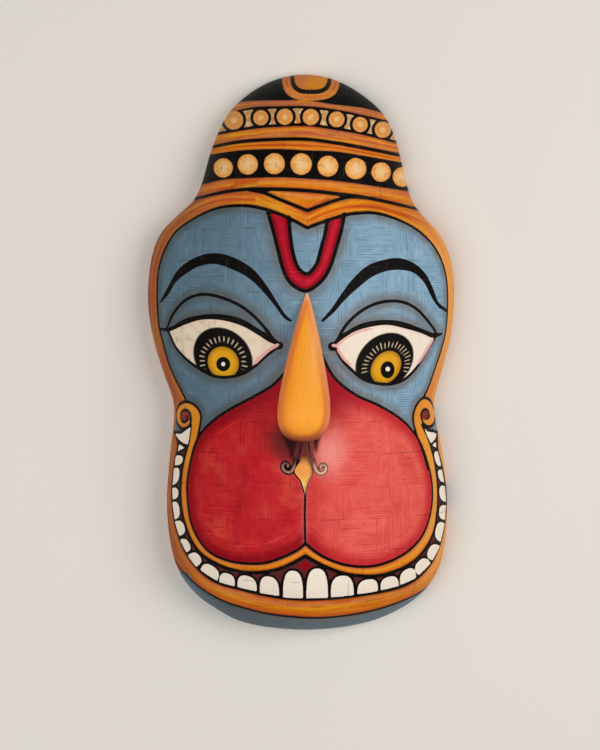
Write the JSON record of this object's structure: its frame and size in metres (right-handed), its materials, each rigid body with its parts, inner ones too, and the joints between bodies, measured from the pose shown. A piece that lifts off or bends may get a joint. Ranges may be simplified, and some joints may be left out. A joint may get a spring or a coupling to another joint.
{
  "type": "hanuman mask",
  "caption": "Hollow moulded face mask with a domed crown, wide forehead, full muzzle and a separate carved teardrop nose, lying face up on a flat rim.",
  "frame": {"origin": "on the floor under the mask, at the middle of the rim's outline box", "axes": "+Z out of the face, +Y from the chin to the crown, +X to the viewer's right of the face"},
  "size_m": [0.1825, 0.33, 0.091],
  "materials": {
    "painted_bamboo": "matt paint under a thin satin varnish",
    "painted_wood": "satin paint over smoothly carved wood"
  },
  "bodies": {
    "root": {"shell": "painted_bamboo", "nose": "painted_wood"}
  },
  "joints": []
}
